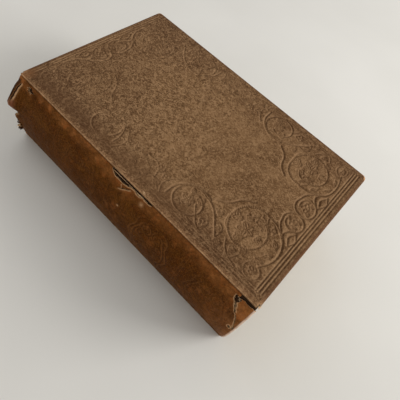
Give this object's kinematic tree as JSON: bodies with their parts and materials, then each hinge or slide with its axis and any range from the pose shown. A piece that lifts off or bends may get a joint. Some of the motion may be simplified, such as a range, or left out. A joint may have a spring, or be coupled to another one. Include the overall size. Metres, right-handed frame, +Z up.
{
  "type": "prayer book",
  "caption": "Thick, closed prayer book in a worn, blind-stamped cloth case binding with a torn front joint, lying on its back cover; both covers and the endleaves turn.",
  "frame": {"origin": "middle of the closed book's footprint, on the surface that the back cover lies on", "axes": "+X from the spine to the fore edge, +Y from the tail of the book to its head, +Z up through the closed book, from the back cover to the front cover"},
  "size_m": [0.1494, 0.22, 0.0664],
  "materials": {
    "board": "matte",
    "cover_cloth": "worn satin",
    "spine_cloth": "worn satin",
    "inlay_card": "matte",
    "endpaper": "matte",
    "text_paper": "matte",
    "lining_paper": "matte",
    "mull": "matte",
    "tape": "matte",
    "thread": "matte",
    "band_silk": "satin"
  },
  "bodies": {
    "text_block": {"section_01": "text_paper", "section_02": "text_paper", "section_03": "text_paper", "section_04": "text_paper", "section_05": "text_paper", "section_06": "text_paper", "section_07": "text_paper", "section_08": "text_paper", "section_09": "text_paper", "section_10": "text_paper", "section_11": "text_paper", "section_12": "text_paper", "section_13": "text_paper", "section_14": "text_paper", "section_15": "text_paper", "section_16": "text_paper", "section_17": "text_paper", "section_18": "text_paper", "section_19": "text_paper", "section_20": "text_paper", "section_21": "text_paper", "section_22": "text_paper", "section_23": "text_paper", "section_24": "text_paper", "section_25": "text_paper", "section_26": "text_paper", "section_27": "text_paper", "section_28": "text_paper", "section_29": "text_paper", "section_30": "text_paper", "section_31": "text_paper", "section_32": "text_paper", "spine_cloth": "spine_cloth", "spine_inlay": "inlay_card", "spine_lining": "lining_paper", "mull": "mull", "sewing_tape_1": "tape", "sewing_tape_2": "tape", "sewing_tape_3": "tape", "sewing_thread": "thread", "headband": "band_silk", "tailband": "band_silk"},
    "front_cover": {"front_board": "board", "front_cover_cloth": "cover_cloth", "front_pastedown": "endpaper"},
    "back_cover": {"back_board": "board", "back_cover_cloth": "cover_cloth", "back_pastedown": "endpaper"},
    "front_flyleaf": {"front_flyleaf": "endpaper"},
    "title_leaf": {"title_leaf": "text_paper"},
    "back_flyleaf": {"back_flyleaf": "endpaper"}
  },
  "joints": [
    {"name": "front_joint", "type": "hinge", "parent": "text_block", "child": "front_cover", "pos_m": [-0.06655, 0, 0.0652], "axis": [0, -1, 0], "range_deg": [0, 180]},
    {"name": "back_joint", "type": "hinge", "parent": "text_block", "child": "back_cover", "pos_m": [-0.06655, 0, 0.0012], "axis": [0, 1, 0], "range_deg": [0, 180]},
    {"name": "front_flyleaf_turn", "type": "hinge", "parent": "text_block", "child": "front_flyleaf", "pos_m": [-0.06503, 0, 0.0626], "axis": [0, -1, 0], "range_deg": [0, 180]},
    {"name": "title_leaf_turn", "type": "hinge", "parent": "text_block", "child": "title_leaf", "pos_m": [-0.06453, 0, 0.0623], "axis": [0, -1, 0], "range_deg": [0, 180]},
    {"name": "back_flyleaf_turn", "type": "hinge", "parent": "text_block", "child": "back_flyleaf", "pos_m": [-0.06503, 0, 0.0038], "axis": [0, 1, 0], "range_deg": [0, 180]}
  ],
  "couplings": [
    {"joint": "front_flyleaf_turn", "follows": "front_joint", "ratio": 0.45},
    {"joint": "title_leaf_turn", "follows": "front_joint", "ratio": 0.25},
    {"joint": "back_flyleaf_turn", "follows": "back_joint", "ratio": 0.45}
  ]
}
